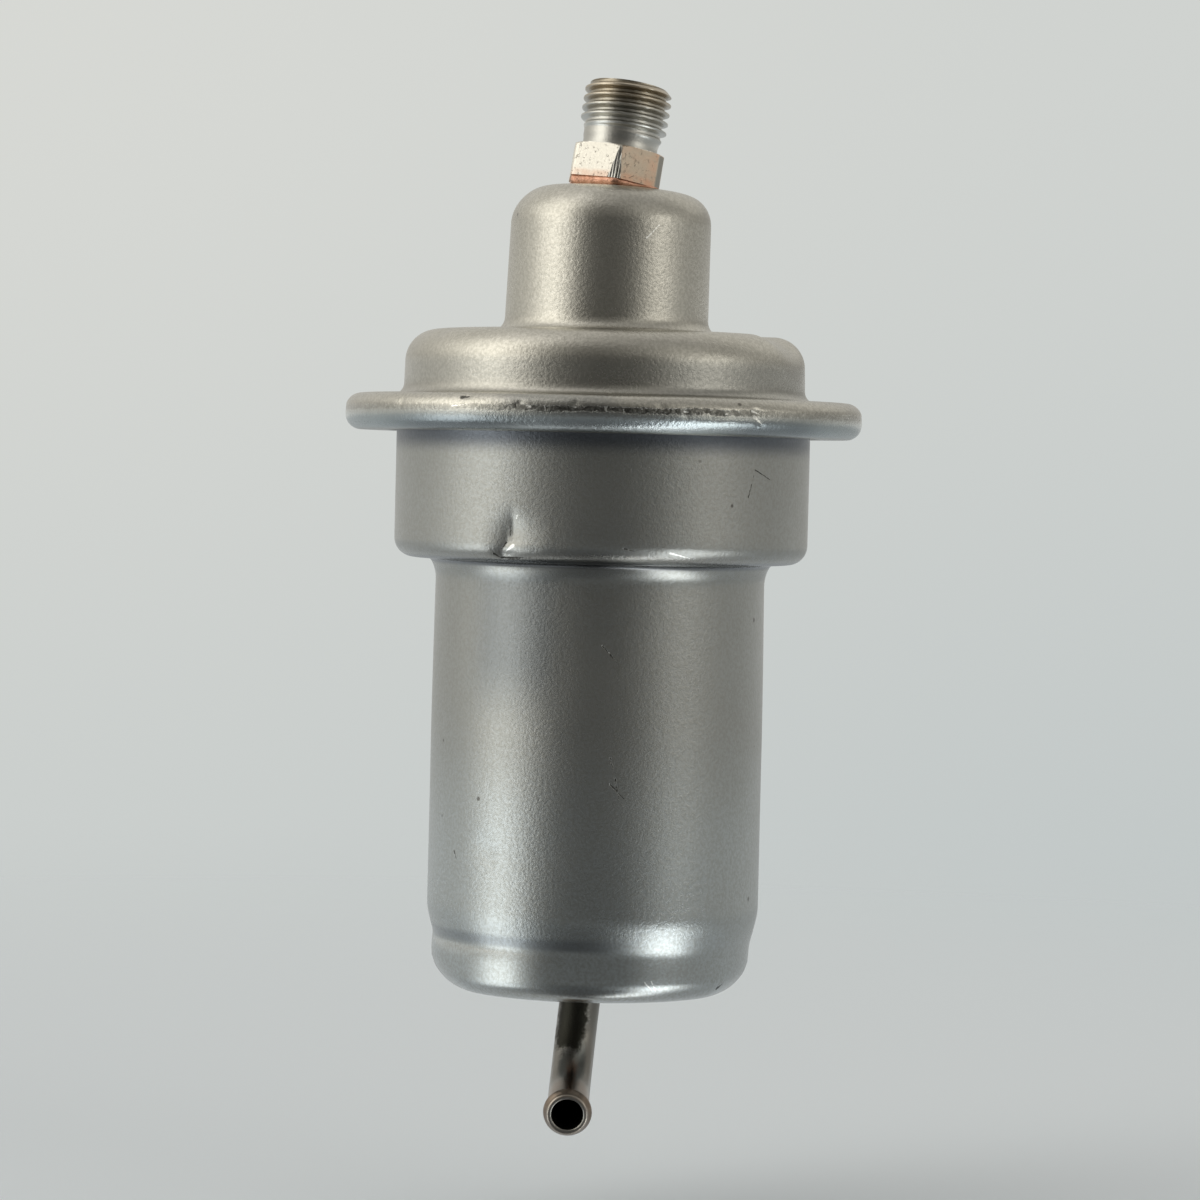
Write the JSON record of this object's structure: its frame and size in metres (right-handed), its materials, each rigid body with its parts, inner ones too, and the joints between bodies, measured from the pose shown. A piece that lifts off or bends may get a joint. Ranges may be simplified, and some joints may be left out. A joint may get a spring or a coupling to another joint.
{
  "type": "fuel accumulator",
  "caption": "Engine fuel accumulator: a drawn steel can with domed cover, rolled seam, threaded inlet union and bent vent tube, holding a sprung rolling diaphragm.",
  "frame": {"origin": "on the can's axis, halfway up the rolled seam, where a collar or bracket holds the accumulator", "axes": "+Z along the can's axis to the threaded union, -Y the way the vent tube bends, +X to the right of someone who faces the tube's mouth"},
  "size_m": [0.0814, 0.0814, 0.1639],
  "materials": {
    "satin_steel": "satin drawn sheet, dull zinc grey with fine scratches",
    "union_steel": "turned, bright on the hexagon's faces, worn",
    "tube_steel": "dull nickel, stained dark near the can",
    "braze_copper": "copper braze, matt",
    "spring_steel": "dark oil-tempered wire",
    "pressed_steel": "yellow-passivated pressings",
    "diaphragm_rubber": "fabric-backed rubber, matt"
  },
  "bodies": {
    "housing": {"cover_shell": "satin_steel", "spring_can": "satin_steel", "inlet_union": "union_steel", "union_braze": "braze_copper", "guide_plate": "pressed_steel", "diaphragm": "diaphragm_rubber", "main_spring": "spring_steel", "stop_sleeve": "pressed_steel", "spring_seat": "pressed_steel", "vent_tube": "tube_steel", "vent_braze": "braze_copper"},
    "diaphragm_group": {"pressure_plate": "pressed_steel", "spring_cup": "pressed_steel", "diaphragm_rivet": "spring_steel", "rivet_washer": "spring_steel"}
  },
  "joints": [
    {"name": "diaphragm_travel", "type": "slide", "parent": "housing", "child": "diaphragm_group", "axis": [0, 0, 1], "range_m": [-0.018, 0], "stiffness_N_per_m": 5800, "springref_m": 0.002, "deforming": ["main_spring", "diaphragm"]}
  ]
}
